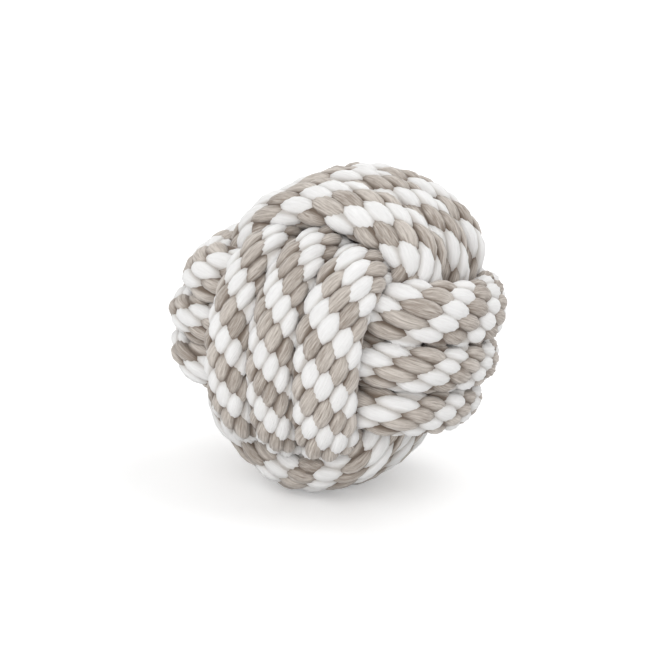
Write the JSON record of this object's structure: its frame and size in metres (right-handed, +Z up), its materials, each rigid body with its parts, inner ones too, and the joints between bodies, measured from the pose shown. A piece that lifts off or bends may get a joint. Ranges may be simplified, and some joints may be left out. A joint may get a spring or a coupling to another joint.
{
  "type": "rope dog toy",
  "caption": "Chew and fetch ball of two-colour braided cotton rope, tied as a monkey's fist knot round a firm core ball.",
  "frame": {"origin": "on the floor under the middle of the ball", "axes": "+Z up, -Y towards the front, +X to the right; the ball leans back on its two lowest turns, lies rolled a little to the right and has settled unevenly, as in the picture"},
  "size_m": [0.0828, 0.0812, 0.0804],
  "materials": {
    "cotton_rope": "matt braided cotton, white and taupe",
    "core_rubber": "matt",
    "whipping_thread": "matt waxed thread"
  },
  "bodies": {
    "root": {"rope": "cotton_rope", "core_ball": "core_rubber", "start_whipping": "whipping_thread", "end_whipping": "whipping_thread"}
  },
  "joints": []
}
